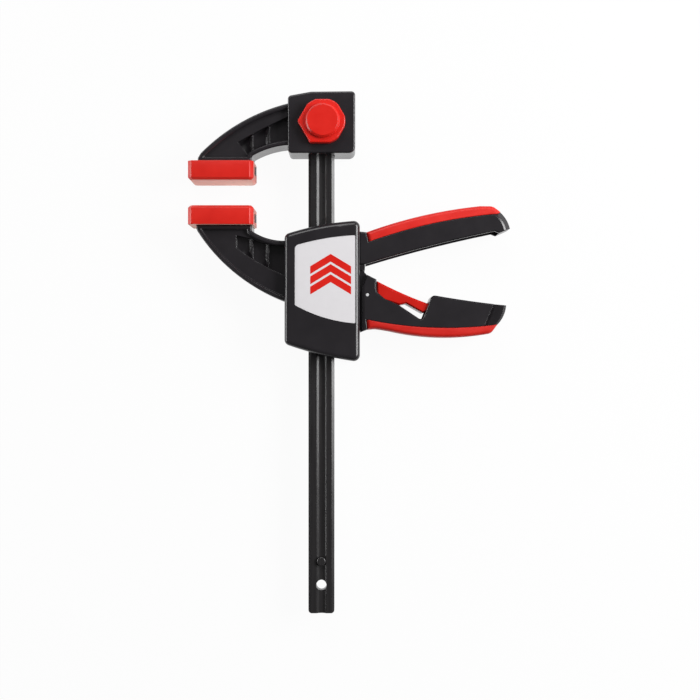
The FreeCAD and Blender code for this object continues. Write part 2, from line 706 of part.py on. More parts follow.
def lock_pin_spring():
    """The small spring inside the knob that pushes the lock pin home."""
    low = flange_low() + LOCK_PIN_FLANGE + TOUCH_GAP
    length = knob_top - KNOB_CROWN - TOUCH_GAP - low
    return coil("lock_pin_spring", at(knob_x, KNOB_UP, low), UP, LOCK_SPRING_RADIUS, LOCK_SPRING_WIRE,
                length, LOCK_SPRING_TURNS)


def case_outline(inset):
    """The casing's outline, drawn in by an inset on every side."""
    return spread(CASE_SHARES, (case_left + inset, case_bottom + inset), case_width - 2 * inset,
                  CASE_HEIGHT - 2 * inset)


def case_slab(inset, low, high):
    """The casing's outline as a slab with rounded corners."""
    block = slab(case_outline(inset), low, high)
    return block.makeFillet(CASE_CORNER, upright_edges(block))


def cavity(low, high):
    """The space for the mechanism, between the walls of the casing."""
    left = case_left + CAVITY_LEFT
    floor = case_bottom + CAVITY_FOOT
    room = slab(case_outline(CASE_WALL), low, high)
    return room.common(box(left, case_right, floor, case_top, low - OVER, high + OVER))


def screw_places():
    """The four cover screws."""
    return [(case_left + sx * case_width, case_bottom + sy * CASE_HEIGHT) for sx, sy in SCREW_SHARES]


def grown_pin(x, y, radius, half):
    """A pin hole that ends a sliding gap beyond the pin."""
    return peg(x, y, radius + PRESS_GAP, -half - SLIDE_GAP, half + SLIDE_GAP)


def pin_half():
    """Half the length of the pins that stand in blind holes of both covers."""
    return cavity_half - SLIDE_GAP


def plate_seat():
    """Height of the brake plate's fulcrum, at the underside of the rib that it bears on."""
    return moving_face - BRAKE_FROM_FACE


def tilted(along, up):
    """A place on the tilted brake plate, from its fulcrum."""
    angle = math.radians(BRAKE_TILT)
    return (fulcrum_x() + along * math.cos(angle) - up * math.sin(angle),
            plate_seat() + along * math.sin(angle) + up * math.cos(angle))


def fulcrum_x():
    """The fulcrum lies so that the tilted plate is centred on the rail."""
    angle = math.radians(BRAKE_TILT)
    return REACH - BRAKE_FULCRUM * math.cos(angle) - BRAKE_THICK / 2 * math.sin(angle)


def lever_lift():
    """How far the release lever's inner tip rises when it is pressed."""
    return LEVER_PIN_OUT * math.radians(LEVER_PRESS)


def brake_drop():
    """How far the brake plate's pushed edge goes down as it comes square."""
    return (BRAKE_FULCRUM + BRAKE_PUSH) * math.sin(math.radians(BRAKE_TILT))


def rocker_places():
    """Left tip, pivot and right tip of the rocker along X, and its height."""
    left = tilted(BRAKE_FULCRUM + BRAKE_PUSH, 0)[0]
    span = pivot_x - left
    ratio = brake_drop() / lever_lift()
    right_arm = span / (1 + ratio)
    height = plate_seat() + brake_drop() + TOUCH_GAP + ROCKER_THICK / 2
    return left, pivot_x - right_arm, pivot_x, height


def spring_ledge():
    """Height of the brake spring's seat."""
    return plate_seat() - BRAKE_SPRING_SEAT


def moving_jaw():
    """Arm, tongue, middle frame of the casing and upper handle in one moulding."""
    frame = case_slab(FRAME_INSET, -frame_half, frame_half)
    room = cavity(-frame_half - OVER, frame_half + OVER)
    frame = frame.cut(room)
    bosses = [peg(x, y, BOSS_RADIUS, -frame_half, frame_half) for x, y in screw_places()]
    arm = jaw_arm(MOVING_ARM_SHARES, MOVING_SCOOP_SHARES, MOVING_STEP_SHARES,
                  (0, moving_face - PAD_HEIGHT), case_left, -MOVING_ARM_DROP)
    body = joined(frame, arm, pad_tongue(moving_face, -1, 0), upper_handle(), *bosses)
    return cut(joined(body, *inner_ribs()), *moving_jaw_cuts())


def inner_ribs():
    """Ribs inside the casing: the fulcrum, the brake spring's ledge and the rod guide."""
    top = case_top
    edge = fulcrum_x()
    fulcrum = box(edge - FULCRUM_WIDTH / 2, edge + FULCRUM_WIDTH / 2, plate_seat() + FULCRUM_TIP, top,
                  -frame_half, frame_half)
    nose = peg(edge, plate_seat() + FULCRUM_TIP + RUN_GAP, FULCRUM_TIP, -frame_half, frame_half)
    fulcrum = joined(fulcrum, nose).common(slab(case_outline(CASE_WALL - OVER), -frame_half, frame_half))
    ledge_top = spring_ledge()
    wall = case_right - CASE_WALL + OVER
    ledge = box(rail_right + CLEAR_GAP, wall, ledge_top - LEDGE_THICK, ledge_top, -GUIDE_DEPTH / 2,
                GUIDE_DEPTH / 2)
    guide = box(pivot_x - GUIDE_WIDTH / 2, wall, ledge_top, ledge_top + GUIDE_LENGTH, -GUIDE_DEPTH / 2,
                GUIDE_DEPTH / 2)
    return fulcrum, ledge, guide


def moving_jaw_cuts():
    """Openings of the middle frame: rail slot, hub, push rod, pins and cover screws."""
    slide = rail_half + SLIDE_GAP
    slot = box(rail_left - SLIDE_GAP, rail_right + SLIDE_GAP, case_bottom - OVER, case_top + OVER,
               -slide, slide)
    hub = hub_half + CLEAR_GAP
    gate = box(pivot_x, root_x + OVER, hub_foot() - CLEAR_GAP, pivot_y, -hub, hub)
    crown = peg(pivot_x, pivot_y, HUB_CROWN + CLEAR_GAP, -hub, hub)
    shoulder = peg(pivot_x, pivot_y, HUB_SHOULDER + CLEAR_GAP, -hub, hub)
    shoulder = shoulder.common(box(pivot_x, root_x + 2 * OVER, pivot_y, pivot_y + 2 * HUB_SHOULDER,
                                   -hub, hub))
    half = ROD_WIDTH / 2 + SLIDE_GAP
    channel = box(pivot_x - half, pivot_x + half, pivot_y, spring_ledge() + GUIDE_LENGTH + OVER, -half, half)
    rocker = rocker_places()
    rocker_hole = grown_pin(rocker[1], rocker[3], ROCKER_PIN_RADIUS, pin_half())
    tools = [slot, gate, crown, shoulder, channel, rocker_hole]
    for x, y in screw_places():
        tools.append(peg(x, y, COVER_SCREW_RADIUS + PRESS_GAP, -case_half, case_half))
    return tools


def upper_handle():
    """The fixed handle's hard part, without the strip that the soft grip fills."""
    place = ((root_x, root_y), UPPER_REACH, UPPER_RISE)
    outline = spread(UPPER_HANDLE_SHARES, *place)
    whole = bevelled(outline, handle_half, (), HANDLE_EDGE, SEAM_BEVEL,
                     spread(UPPER_GRIP_SHARES, *place), UPPER_END_SLOPE)
    edge = case_right + FRAME_INSET
    far = root_x + UPPER_REACH + OVER
    outer = whole.common(box(edge, far, root_y - OVER, case_top + UPPER_RISE, -case_half, case_half))
    neck = box(case_right - CASE_WALL, root_x + NECK_PAST_ROOT, neck_y, root_y + OVER, -frame_half,
               frame_half)
    inner = slab(outline, -frame_half, frame_half)
    inner = inner.common(box(case_right - CASE_WALL, root_x, neck_y, case_top, -frame_half, frame_half))
    return joined(outer, neck, inner).cut(handle_hollow(place))


def handle_hollow(place):
    """The room under the upper handle, open below, with ribs left standing deep inside it."""
    outline = spread(HOLLOW_SHARES, *place)
    half = handle_half - HOLLOW_WALL
    room = slab(outline, -half, half)
    deep = slab(spread(UPPER_HANDLE_SHARES, *place), -half, half)
    deep.translate(ALONG * HOLLOW_RIB_SET_BACK)
    left, right = [side(step[-1][0] for step in outline) for side in (min, max)]
    for rib in range(1, HOLLOW_RIBS + 1):
        middle = left + (right - left) * rib / (HOLLOW_RIBS + 1)
        rib = box(middle - HOLLOW_RIB / 2, middle + HOLLOW_RIB / 2, root_y, root_y + UPPER_RISE, -half, half)
        room = room.cut(rib.common(deep))
    return room


def grip(shares, rounds, handle_shares, *place):
    """A soft strip, a little proud of the handle and bevelled where the hand goes."""
    half = handle_half + GRIP_PROUD
    neighbour = spread(handle_shares, *place)
    return bevelled(spread(shares, *place), half, rounds, GRIP_EDGE, SEAM_BEVEL, neighbour)


def upper_grip():
    """The strip on top of the upper handle."""
    return grip(UPPER_GRIP_SHARES, UPPER_GRIP_ROUNDS, UPPER_HANDLE_SHARES, (root_x, root_y), UPPER_REACH,
                UPPER_RISE)


def lower_grip():
    """The strip under the lower handle."""
    return grip(LOWER_GRIP_SHARES, LOWER_GRIP_ROUNDS, LOWER_HANDLE_SHARES, (root_x, lower_y), LOWER_REACH,
                LOWER_DROP)


def cover():
    """One cover of the casing, on the front, hollow behind with a boss for each pin."""
    shell = case_slab(0, frame_half, case_half)
    shell = shell.makeFillet(CASE_ROUND, face_edges(shell, case_half))
    room = cavity(frame_half - OVER, cavity_half)
    shell = shell.cut(room)
    rocker = rocker_places()
    bosses = [peg(pivot_x, pivot_y, BOSS_RADIUS, frame_half, cavity_half + OVER),
              peg(rocker[1], rocker[3], BOSS_RADIUS, frame_half, cavity_half + OVER)]
    for x, y in screw_places():
        bosses.append(peg(x, y, BOSS_RADIUS, frame_half, cavity_half + OVER))
    shell = joined(shell, *bosses)
    pivot_hole = grown_pin(pivot_x, pivot_y, PIVOT_RADIUS, pin_half())
    rocker_hole = grown_pin(rocker[1], rocker[3], ROCKER_PIN_RADIUS, pin_half())
    return cut(shell, pivot_hole, rocker_hole)


def screw_end():
    """How far into the front cover the screws reach."""
    return case_half - COVER_SCREW_COVERED


def front_cover():
    """The front cover, with the bed that the label lies in."""
    shell = cover()
    bed = label_slab(case_half - LABEL_THICK - LABEL_SUNK, case_half + OVER)
    shell = shell.cut(bed)
    for x, y in screw_places():
        shell = shell.cut(peg(x, y, COVER_SCREW_RADIUS + PRESS_GAP, 0, screw_end() + SLIDE_GAP))
    return shell


def rear_cover():
    """The rear cover, with a sunk hole for each screw."""
    shell = mirrored(cover())
    seat = -case_half + COVER_SCREW_SUNK + COVER_SCREW_HEAD_HEIGHT
    for x, y in screw_places():
        shell = shell.cut(peg(x, y, COVER_SCREW_RADIUS + PRESS_GAP, -case_half - OVER, 0))
        shell = shell.cut(peg(x, y, COVER_SCREW_HEAD + SLIDE_GAP, -case_half - OVER, seat))
    return joined(shell, rear_ear())


def rear_ear():
    """A small ear of the rear cover, behind the gap between the neck and the lower handle."""
    high = -handle_half - GRIP_PROUD - CLEAR_GAP
    foot = neck_y - EAR_BELOW_NECK
    tip = case_right + EAR_PAST_CASE
    ear = box(case_right - EAR_THICK, tip, foot, neck_y + OVER, high - EAR_THICK, high)
    return ear.makeFillet(EAR_CORNER, upright_edges(ear, [(tip, foot)]))


def cover_screws():
    """Four long screws with crossed slots, put in from the rear cover."""
    low = -case_half + COVER_SCREW_SUNK
    seat = low + COVER_SCREW_HEAD_HEIGHT
    deep = low + COVER_SCREW_HEAD_HEIGHT / 2
    reach = COVER_SCREW_HEAD * math.cos(math.pi / 4)
    thin = COVER_SCREW_SLOT / 2
    screws = []
    for x, y in screw_places():
        head = peg(x, y, COVER_SCREW_HEAD, low, seat)
        shank = peg(x, y, COVER_SCREW_RADIUS, low, screw_end())
        screw = joined(head, shank)
        for wide, tall in ((reach, thin), (thin, reach)):
            screw = screw.cut(box(x - wide, x + wide, y - tall, y + tall, low - OVER, deep))
        screws.append(screw)
    return Part.makeCompound(screws)


def label_slab(low, high):
    """The label's outline as a slab with rounded corners."""
    outline = spread(LABEL_SHARES, (case_left, case_bottom), case_width, CASE_HEIGHT)
    return rounded_slab(outline, low, high, LABEL_ROUNDS)


def label():
    """The thin plate that fills the front cover's bed."""
    top = case_half - LABEL_SUNK
    return label_slab(top - LABEL_THICK, top)


def hub_foot():
    """The lowest point of the lower handle's hub."""
    return pivot_y + HUB_SHOULDER * min(y for step in HUB_SHARES for x, y in step)


def hub():
    """The part of the lower handle inside the casing, with the nose that drives the plate."""
    web = slab(spread(HUB_SHARES, (pivot_x, pivot_y), HUB_SHOULDER, HUB_SHOULDER), -hub_half, hub_half)
    eye = peg(pivot_x, pivot_y, HUB_RADIUS, -hub_half, hub_half)
    tip = peg(pivot_x - NOSE_OUT, pivot_y - NOSE_DOWN, NOSE_RADIUS, -hub_half, hub_half)
    arm = slab(bar((pivot_x, pivot_y), (pivot_x - NOSE_OUT, pivot_y - NOSE_DOWN), NOSE_RADIUS), -hub_half,
               hub_half)
    return joined(web, eye, tip, arm)


def bar(start, end, half):
    """The outline of a straight bar with square ends between two points."""
    length = math.hypot(end[0] - start[0], end[1] - start[1])
    across = ((start[1] - end[1]) / length * half, (end[0] - start[0]) / length * half)
    return [[(start[0] + across[0], start[1] + across[1])], [(end[0] + across[0], end[1] + across[1])],
            [(end[0] - across[0], end[1] - across[1])], [(start[0] - across[0], start[1] - across[1])]]


def lever_tip():
    """The middle of the rounded end of the release lever's inner arm."""
    return pivot_x, pivot_y + LEVER_TIP_UP


def lower_handle():
    """The handle that is squeezed: hub and hand part, open above for the release lever."""
    place = ((root_x, lower_y), LOWER_REACH, LOWER_DROP)
    outline = spread(LOWER_HANDLE_SHARES, *place)
    hand = bevelled(outline, handle_half, LOWER_HANDLE_ROUNDS, HANDLE_EDGE, SEAM_BEVEL,
                    spread(LOWER_GRIP_SHARES, *place), LOWER_END_SLOPE, LOWER_NEAR_SLOPE)
    body = joined(hand, hub())
    half = LEVER_DEPTH / 2 + CLEAR_GAP
    channel = slab(spread(CHANNEL_SHARES, *place), -half, half)
    half = LEVER_SHANK_DEPTH / 2 + CLEAR_GAP
    shank_room = slab(shank_outline(ROOM_EYE_SHARES, ROOM_END_SHARES, 3 * CLEAR_GAP), -half, half)
    eye_room = peg(lever_pin_x, lever_pin_y, LEVER_EYE_RADIUS + CLEAR_GAP, -half, half)
    half = LEVER_ARM_DEPTH / 2 + CLEAR_GAP
    tip_x, tip_y = lever_tip()
    arm_room = slab(bar((lever_pin_x, lever_pin_y), (tip_x, tip_y), LEVER_ARM_HALF + 2 * CLEAR_GAP),
                    -half, half)
    rod_room = box(tip_x - ROD_FOOT_WIDTH / 2 - CLEAR_GAP, tip_x + HUB_SHOULDER / 2,
                   tip_y - LEVER_ARM_HALF - CLEAR_GAP, pivot_y + HUB_SHOULDER, -half, half)
    pin_hole = peg(lever_pin_x, lever_pin_y, LEVER_PIN_RADIUS + PRESS_GAP, -handle_half - OVER,
                   handle_half + OVER)
    pivot_hole = peg(pivot_x, pivot_y, PIVOT_RADIUS + RUN_GAP, -handle_half, handle_half)
    body = cut(body, channel, shank_room, eye_room, arm_room, rod_room, pin_hole, pivot_hole)
    groove = lip_groove()
    return cut(body, groove, mirrored(groove))


def lip_groove():
    """The hollow across the front of the lower handle's end: a steep wall, then a floor that
    rises to the lip."""
    start, end = [at(root_x + sx * LOWER_REACH, lower_y + sy * LOWER_DROP) for sx, sy in LIP_GROOVE_SHARES]
    out = FreeCAD.Vector(end - start).cross(UP).normalize()
    profile = [(-LIP_GROOVE_WALL, OVER), (-LIP_GROOVE_WALL, 0), (0, -LIP_GROOVE_DEPTH), (LIP_GROOVE_WIDTH, 0),
               (LIP_GROOVE_WIDTH, OVER)]
    corners = [start + out * along + UP * (handle_half + up) for along, up in profile]
    return Part.Face(Part.makePolygon(corners + corners[:1])).extrude(end - start)


def shank_outline(eye_shares, end_shares, past):
    """From the release lever's eye to a little past the near end of its finger part."""
    x = root_x + LEVER_SHARES[0][0][0] * LOWER_REACH + LEVER_LAP + past
    near = [[(lever_pin_x + sx * LEVER_EYE_RADIUS, lever_pin_y + sy * LEVER_EYE_RADIUS)]
            for sx, sy in eye_shares]
    far = [[(x, lower_y + sy * LOWER_DROP)] for sy in end_shares]
    return [near[0], far[0], far[1], near[1]]


def release_lever():
    """The red lever: finger part, shank with its eye, and the inner arm."""
    outline = spread(LEVER_SHARES, (root_x, lower_y), LOWER_REACH, LOWER_DROP)
    finger = bevelled(outline, LEVER_DEPTH / 2, LEVER_ROUNDS, LEVER_EDGE, SEAM_BEVEL)
    half = LEVER_SHANK_DEPTH / 2
    shank = slab(shank_outline(SHANK_EYE_SHARES, SHANK_END_SHARES, 0), -half, half)
    eye = peg(lever_pin_x, lever_pin_y, LEVER_EYE_RADIUS, -half, half)
    half = LEVER_ARM_DEPTH / 2
    tip_x, tip_y = lever_tip()
    arm = slab(bar((lever_pin_x, lever_pin_y), (tip_x, tip_y), LEVER_ARM_HALF), -half, half)
    tip = peg(tip_x, tip_y, LEVER_ARM_HALF, -half, half)
    hole = peg(lever_pin_x, lever_pin_y, LEVER_PIN_RADIUS + RUN_GAP, -LEVER_DEPTH, LEVER_DEPTH)
    return joined(finger, shank, eye, arm, tip).cut(hole)


def release_lever_pin():
    """The steel pin through the lower handle that the release lever turns on."""
    return peg(lever_pin_x, lever_pin_y, LEVER_PIN_RADIUS, -handle_half, handle_half)


def handle_pivot_pin():
    """The steel pin that the lower handle turns on, held in both covers."""
    return peg(pivot_x, pivot_y, PIVOT_RADIUS, -pin_half(), pin_half())


def rocker_pin():
    """The small pin that the rocker turns on, held in both covers."""
    x, y = rocker_places()[1], rocker_places()[3]
    return peg(x, y, ROCKER_PIN_RADIUS, -pin_half(), pin_half())


def release_rocker():
    """The rocker: the push rod lifts its right end, and its left end presses the plate."""
    left, middle, right, height = rocker_places()
    half = ROCKER_DEPTH / 2
    beam = box(left, right, height - ROCKER_THICK / 2, height + ROCKER_THICK / 2, -half, half)
    ends = [peg(x, height, ROCKER_THICK / 2, -half, half) for x in (left, right)]
    eye = peg(middle, height, ROCKER_EYE_RADIUS, -half, half)
    hole = peg(middle, height, ROCKER_PIN_RADIUS + RUN_GAP, -case_half, case_half)
    return joined(beam, eye, *ends).cut(hole)


def push_rod():
    """The rod, round-ended, between the release lever's inner arm and the rocker."""
    height = rocker_places()[3]
    top = height - ROCKER_THICK / 2 - TOUCH_GAP
    foot = lever_tip()[1] + LEVER_ARM_HALF + TOUCH_GAP
    half = ROD_WIDTH / 2
    rod = box(pivot_x - half, pivot_x + half, foot, top - half, -half, half)
    end = peg(pivot_x, top - half, half, -half, half)
    wide = ROD_FOOT_WIDTH / 2
    shoe = box(pivot_x - wide, pivot_x + wide, foot, foot + ROD_FOOT_THICK, -half, half)
    return joined(rod, end, shoe)


def plate_blank(left, right, bottom, top, height, window):
    """A steel plate with rounded corners and a window for the rail."""
    half = height / 2
    plate = box(left, right, bottom, top, -half, half)
    corners = [e for e in plate.Edges if abs(e.Length - (top - bottom)) < OVER / 100]
    plate = plate.makeFillet(PLATE_CORNER, corners)
    room = rail_half + PLATE_WINDOW_GAP
    return plate.cut(box(window[0], window[1], bottom - OVER, top + OVER, -room, room))


def brake_plate():
    """The tilted plate that grips the rail, made square and then tilted about its fulcrum."""
    angle = math.radians(BRAKE_TILT)
    wide = (RAIL_WIDTH + 2 * PLATE_GRIP_GAP + BRAKE_THICK * math.sin(angle)) / math.cos(angle)
    middle = fulcrum_x() + BRAKE_FULCRUM
    plate = plate_blank(middle - BRAKE_LEFT, middle + BRAKE_RIGHT, plate_seat() - BRAKE_THICK, plate_seat(),
                        BRAKE_HEIGHT, (middle - wide / 2, middle + wide / 2))
    plate.rotate(at(fulcrum_x(), plate_seat()), UP, BRAKE_TILT)
    return plate


def brake_spring():
    """The spring under the free end of the brake plate."""
    x = rail_right + CLEAR_GAP + BRAKE_SPRING_RADIUS + BRAKE_SPRING_WIRE / 2
    low = spring_ledge() + TOUCH_GAP
    high = tilted(x - fulcrum_x() - BRAKE_SPRING_RADIUS, -BRAKE_THICK)[1] - TOUCH_GAP
    return coil("brake_spring", at(x, low), ALONG, BRAKE_SPRING_RADIUS, BRAKE_SPRING_WIRE, high - low,
                BRAKE_SPRING_TURNS)


def drive_top():
    """Height of the drive plate's upper face, just under the handle's nose."""
    return pivot_y - NOSE_DOWN - NOSE_RADIUS - TOUCH_GAP


def drive_plate():
    """The plate that the handle's nose pushes along the rail."""
    room = RAIL_WIDTH / 2 + PLATE_GRIP_GAP
    return plate_blank(REACH - DRIVE_LEFT, REACH + DRIVE_RIGHT, drive_top() - DRIVE_THICK, drive_top(),
                       DRIVE_HEIGHT, (REACH - room, REACH + room))


def drive_spring():
    """The strong spring around the rail that returns the drive plate and the handle."""
    low = case_bottom + CAVITY_FOOT + TOUCH_GAP
    high = drive_top() - DRIVE_THICK - TOUCH_GAP
    return coil("drive_spring", at(REACH, low), ALONG, DRIVE_SPRING_RADIUS, DRIVE_SPRING_WIRE, high - low,
                DRIVE_SPRING_TURNS)


os.makedirs("parts", exist_ok=True)

NODES = {
    "rail": rail,
    "rail_stop_pin": rail_stop_pin,
    "fixed_jaw": fixed_jaw,
    "fixed_jaw_pad": lambda: jaw_pad(0, 1),
    "knob": knob,
    "knob_ring": knob_ring,
    "lock_pin": lock_pin,
    "lock_pin_spring": lock_pin_spring,
    "moving_jaw": moving_jaw,
    "moving_jaw_pad": lambda: jaw_pad(moving_face, -1),
    "upper_grip": upper_grip,
    "front_cover": front_cover,
    "rear_cover": rear_cover,
    "cover_screws": cover_screws,
    "label": label,
    "lower_handle": lower_handle,
    "lower_grip": lower_grip,
    "handle_pivot_pin": handle_pivot_pin,
    "release_lever": release_lever,
    "release_lever_pin": release_lever_pin,
    "push_rod": push_rod,
    "release_rocker": release_rocker,
    "rocker_pin": rocker_pin,
    "brake_plate": brake_plate,
    "brake_spring": brake_spring,
    "drive_plate": drive_plate,
    "drive_spring": drive_spring,
}

for name, make in NODES.items():
    shape = make()
    if not shape.isValid():
        print(name, "is not valid")
    print(name, len(shape.Solids), round(shape.Volume, 1))
    shape.exportStep("parts/" + name + ".step")
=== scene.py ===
import json
import math

import bmesh
import bpy
from mathutils import Matrix, Vector


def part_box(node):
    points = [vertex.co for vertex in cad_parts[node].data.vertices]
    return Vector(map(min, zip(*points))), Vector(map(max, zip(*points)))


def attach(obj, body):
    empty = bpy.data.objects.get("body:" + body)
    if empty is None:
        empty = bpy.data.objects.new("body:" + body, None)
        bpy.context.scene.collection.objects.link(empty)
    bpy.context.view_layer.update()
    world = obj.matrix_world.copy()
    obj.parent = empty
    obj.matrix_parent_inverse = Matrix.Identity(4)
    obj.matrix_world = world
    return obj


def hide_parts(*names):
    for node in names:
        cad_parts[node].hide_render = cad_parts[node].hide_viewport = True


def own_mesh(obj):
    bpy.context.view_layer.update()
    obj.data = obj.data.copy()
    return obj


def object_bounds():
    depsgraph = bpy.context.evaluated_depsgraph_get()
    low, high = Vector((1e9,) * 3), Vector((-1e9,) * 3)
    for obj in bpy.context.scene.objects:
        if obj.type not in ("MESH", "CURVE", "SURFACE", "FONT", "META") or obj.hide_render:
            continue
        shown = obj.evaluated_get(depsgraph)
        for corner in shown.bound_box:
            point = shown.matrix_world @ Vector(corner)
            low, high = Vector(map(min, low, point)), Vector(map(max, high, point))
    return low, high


# A one-handed quick release bar clamp, lying on its rear cover. X points from the jaws to the
# handles, Y runs along the rail towards the fixed jaw, and Z points up out of the front cover.
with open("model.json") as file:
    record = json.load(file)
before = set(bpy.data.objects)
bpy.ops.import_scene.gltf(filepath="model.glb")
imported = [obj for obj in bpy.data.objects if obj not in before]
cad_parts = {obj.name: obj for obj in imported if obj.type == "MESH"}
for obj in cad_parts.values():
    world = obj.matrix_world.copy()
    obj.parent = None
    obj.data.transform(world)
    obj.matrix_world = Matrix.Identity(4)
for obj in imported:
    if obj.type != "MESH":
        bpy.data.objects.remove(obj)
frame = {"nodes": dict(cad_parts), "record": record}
cad_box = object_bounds()
cad = frame["nodes"]
MM = 0.001

# Camera. It hangs straight above the clamp with its top towards the fixed jaw, so that the rail
# runs down the picture. The sensor and the picture are square.
CAMERA_HEIGHT = 750 * MM
CAMERA_PLACE = (84.5 * MM, -110.4 * MM)
VIEW_WIDTH = 462 * MM
SENSOR_WIDTH = 36.0
NEAREST = 10 * MM

camera = bpy.data.objects.new("camera", bpy.data.cameras.new("camera"))
camera.data.sensor_width = SENSOR_WIDTH
camera.data.lens = SENSOR_WIDTH * CAMERA_HEIGHT / VIEW_WIDTH
camera.data.clip_start = NEAREST
camera.location = (*CAMERA_PLACE, CAMERA_HEIGHT)
bpy.context.scene.collection.objects.link(camera)
bpy.context.scene.camera = camera

# Rail and stop pin. A flat bar of drawn steel under thin black lacquer, with a groove along each
# face and a pin driven through it. The drawing marks run along the bar and show as faint streaks.
RAIL_BLACK = (0.0180, 0.0168, 0.0176)
RAIL_WORN = (0.0290, 0.0272, 0.0280)
RAIL_STREAKS = (900, 25, 900)
RAIL_CLOUDS = (90, 40, 90)
STREAK_DEPTH = 0.010 * MM
RAIL_EDGE = 0.3 * MM
LACQUER_ROUGHNESS = (0.24, 0.32)
LACQUER_IOR = 1.46
PIN_ROUGHNESS = (0.12, 0.18)
PIN_IOR = 1.70
NOISE_LOW = 0.3
NOISE_HIGH = 0.7
EDGE_SAMPLES = 8


def new_finish(name):
    """A material with nothing but its shader, and that shader."""
    finish = bpy.data.materials.new(name)
    finish.use_nodes = True
    finish.node_tree.nodes.clear()
    output = finish.node_tree.nodes.new("ShaderNodeOutputMaterial")
    shader = finish.node_tree.nodes.new("ShaderNodeBsdfPrincipled")
    finish.node_tree.links.new(shader.outputs["BSDF"], output.inputs["Surface"])
    return finish, shader


def add_node(finish, kind, settings=None, **inputs):
    """A node of a finish. Settings are its own, inputs are numbers or other nodes' sockets."""
    node = finish.node_tree.nodes.new(kind)
    for setting, value in (settings or {}).items():
        setattr(node, setting, value)
    for socket, value in inputs.items():
        feed(finish, node.inputs[socket.replace("_", " ")], value)
    return node


def feed(finish, socket, value):
    """Links a socket to a socket, or sets it."""
    if isinstance(value, bpy.types.NodeSocket):
        finish.node_tree.links.new(value, socket)
    else:
        socket.default_value = value


def grain(finish, scale, detail=3.0, roughness=0.55):
    """Noise on the object's own places. Scale is how many cells a metre holds, by axis."""
    place = add_node(finish, "ShaderNodeTexCoord")
    mapping = add_node(finish, "ShaderNodeMapping", Vector=place.outputs["Object"])
    mapping.inputs["Scale"].default_value = scale
    noise = add_node(finish, "ShaderNodeTexNoise", Vector=mapping.outputs["Vector"], Scale=1.0,
                     Detail=detail, Roughness=roughness)
    return noise.outputs["Fac"]


def between(finish, fac, low, high):
    """A number that follows a texture from low to high."""
    spread = add_node(finish, "ShaderNodeMapRange", Value=fac)
    for socket, value in (("From Min", NOISE_LOW), ("From Max", NOISE_HIGH),
                          ("To Min", low), ("To Max", high)):
        spread.inputs[socket].default_value = value
    return spread.outputs["Result"]


def blended(finish, fac, first, second):
    """A colour that follows a number from the first colour to the second."""
    mix = add_node(finish, "ShaderNodeMix", {"data_type": "RGBA"})
    feed(finish, mix.inputs["Factor"], fac)
    for socket, colour in (("A", first), ("B", second)):
        target = [s for s in mix.inputs if s.name == socket and s.type == "RGBA"][0]
        target.default_value = (*colour, 1.0)
    return [s for s in mix.outputs if s.type == "RGBA"][0]


def relief(finish, shader, height, depth, edge):
    """A bump of a real depth, over edges that are softened by a real radius."""
    soft = add_node(finish, "ShaderNodeBevel", {"samples": EDGE_SAMPLES}, Radius=edge)
    bump = add_node(finish, "ShaderNodeBump", Height=height, Strength=1.0, Distance=depth,
                    Normal=soft.outputs["Normal"])
    feed(finish, shader.inputs["Normal"], bump.outputs["Normal"])


def paint(finish, *names):
    """Gives a finish to CAD nodes."""
    for name in names:
        cad[name].data.materials.clear()
        cad[name].data.materials.append(finish)


def black_lacquer(name, roughness, ior):
    """Lacquer over drawn steel, a little paler along the drawing marks."""
    finish, shader = new_finish(name)
    streaks = grain(finish, RAIL_STREAKS)
    clouds = grain(finish, RAIL_CLOUDS)
    feed(finish, shader.inputs["Base Color"],
         blended(finish, between(finish, streaks, 0, 1), RAIL_BLACK, RAIL_WORN))
    feed(finish, shader.inputs["Roughness"], between(finish, clouds, *roughness))
    shader.inputs["IOR"].default_value = ior
    relief(finish, shader, streaks, STREAK_DEPTH, RAIL_EDGE)
    return finish


paint(black_lacquer("black lacquer on steel", LACQUER_ROUGHNESS, LACQUER_IOR), "rail")
paint(black_lacquer("blackened pin", PIN_ROUGHNESS, PIN_IOR), "rail_stop_pin")

# Fixed jaw, moving jaw, casing covers and lower handle. Glass-filled black nylon, moulded in
# spark-eroded tools, which leave an even fine grain with soft clouds in its sheen.
NYLON_BLACK = (0.0175, 0.0155, 0.0180)
NYLON_GREY = (0.0215, 0.0190, 0.0220)
SPARKED_GRAIN = (2600, 2600, 2600)
SPARKED_DETAIL = 2.0
NYLON_CLOUDS = (60, 60, 60)
NYLON_PITS = 0.012 * MM
NYLON_EDGE = 0.45 * MM
NYLON_ROUGHNESS = (0.20, 0.27)
NYLON_IOR = 1.55


def black_nylon():
    """Black with a breath of grey in soft clouds, over the fine pits of the tool."""
    finish, shader = new_finish("black moulded nylon")
    pits = grain(finish, SPARKED_GRAIN, SPARKED_DETAIL)
    clouds = grain(finish, NYLON_CLOUDS)
    feed(finish, shader.inputs["Base Color"],
         blended(finish, between(finish, clouds, 0, 1), NYLON_BLACK, NYLON_GREY))
    feed(finish, shader.inputs["Roughness"], between(finish, clouds, *NYLON_ROUGHNESS))
    shader.inputs["IOR"].default_value = NYLON_IOR
    relief(finish, shader, pits, NYLON_PITS, NYLON_EDGE)
    return finish


paint(black_nylon(), "fixed_jaw", "moving_jaw", "front_cover", "rear_cover", "lower_handle")

